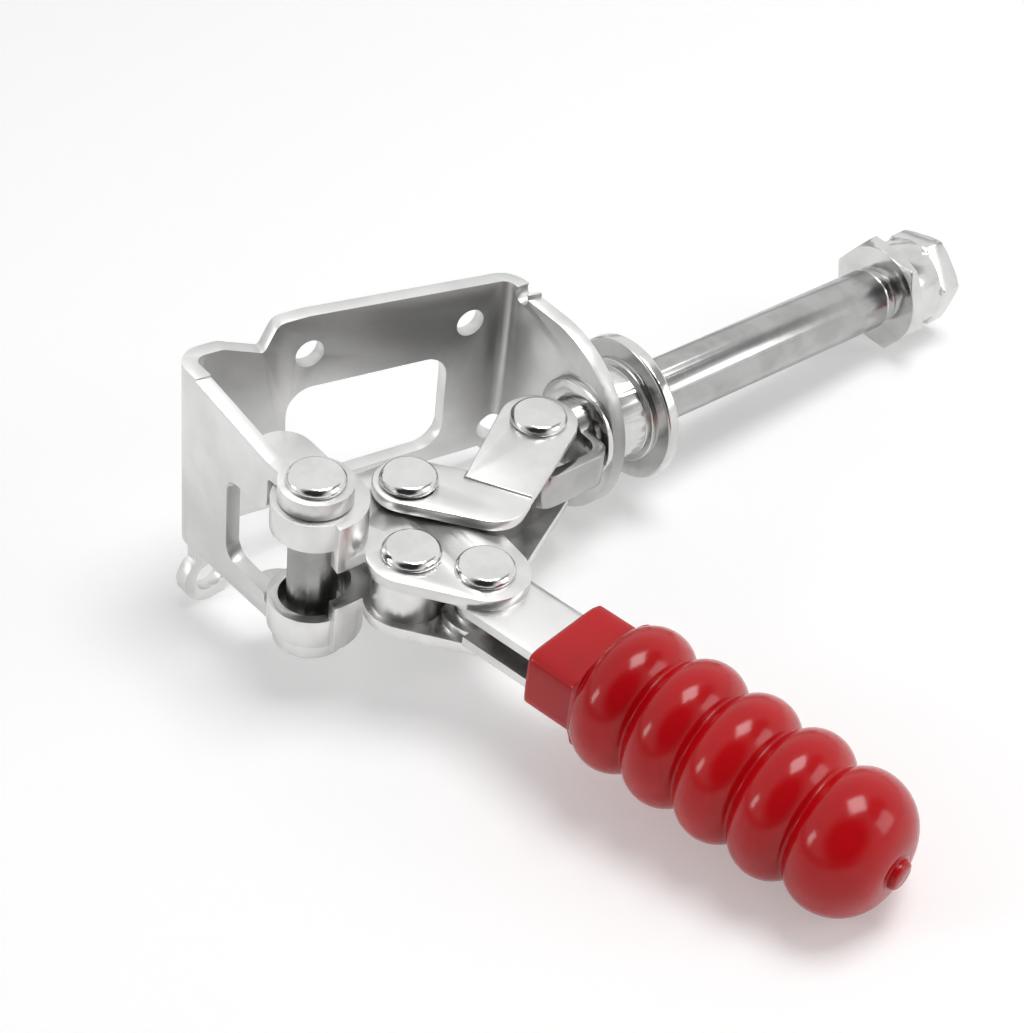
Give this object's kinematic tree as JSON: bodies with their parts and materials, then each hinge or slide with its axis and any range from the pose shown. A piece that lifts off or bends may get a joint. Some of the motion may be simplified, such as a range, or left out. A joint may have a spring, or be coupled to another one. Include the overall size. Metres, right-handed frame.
{
  "type": "toggle clamp",
  "caption": "Push-pull toggle clamp: folded steel base bracket, bowed toggle links, round push rod with jam nut and bolt, and a ribbed red grip.",
  "frame": {"origin": "centre of the end bolt's push face, on the push rod's axis", "axes": "+X along the push rod, out of the clamp; +Y towards the base plate; +Z along the rivets, up as the clamp lies on its side"},
  "size_m": [0.16, 0.1445, 0.0531],
  "materials": {
    "sheet": "bright zinc plate",
    "plated": "polished plate",
    "ground_rod": "ground",
    "grip": "glossy dipped vinyl"
  },
  "bodies": {
    "base": {"frame": "sheet", "nose_bushing": "plated", "nose_flange": "plated", "nose_mouth_ring": "plated", "frame_pivot_rivet": "plated"},
    "handle": {"crank_plate_upper": "sheet", "crank_plate_lower": "sheet", "handle_channel": "sheet", "grip": "grip", "inner_handle_rivet": "plated", "outer_handle_rivet": "plated", "barrel_spacer": "plated", "outer_rivet_sleeve": "plated", "pivot_sleeve": "plated", "crank_pin_sleeve": "plated", "crank_pin_rivet": "plated"},
    "links": {"link_upper": "sheet", "link_lower": "sheet", "plunger_pin_rivet": "plated"},
    "plunger": {"plunger": "ground_rod", "end_collar": "plated", "jam_nut": "plated", "end_bolt": "plated"}
  },
  "joints": [
    {"name": "handle_swing", "type": "hinge", "parent": "base", "child": "handle", "pos_m": [-0.1525, -0.003, 0], "axis": [0, 0, -1], "range_deg": [0, 90]},
    {"name": "link_swing", "type": "hinge", "parent": "handle", "child": "links", "pos_m": [-0.13351, -0.00356, 0], "axis": [0, 0, 1], "range_deg": [0, 129.8]},
    {"name": "plunger_slide", "type": "slide", "parent": "base", "child": "plunger", "axis": [-1, 0, 0], "range_m": [0, 0.0267]}
  ],
  "couplings": [
    {"joint": "link_swing", "follows": "handle_swing", "ratio": 1.4422},
    {"joint": "plunger_slide", "follows": "handle_swing", "m_per_rad": 0.016956}
  ]
}
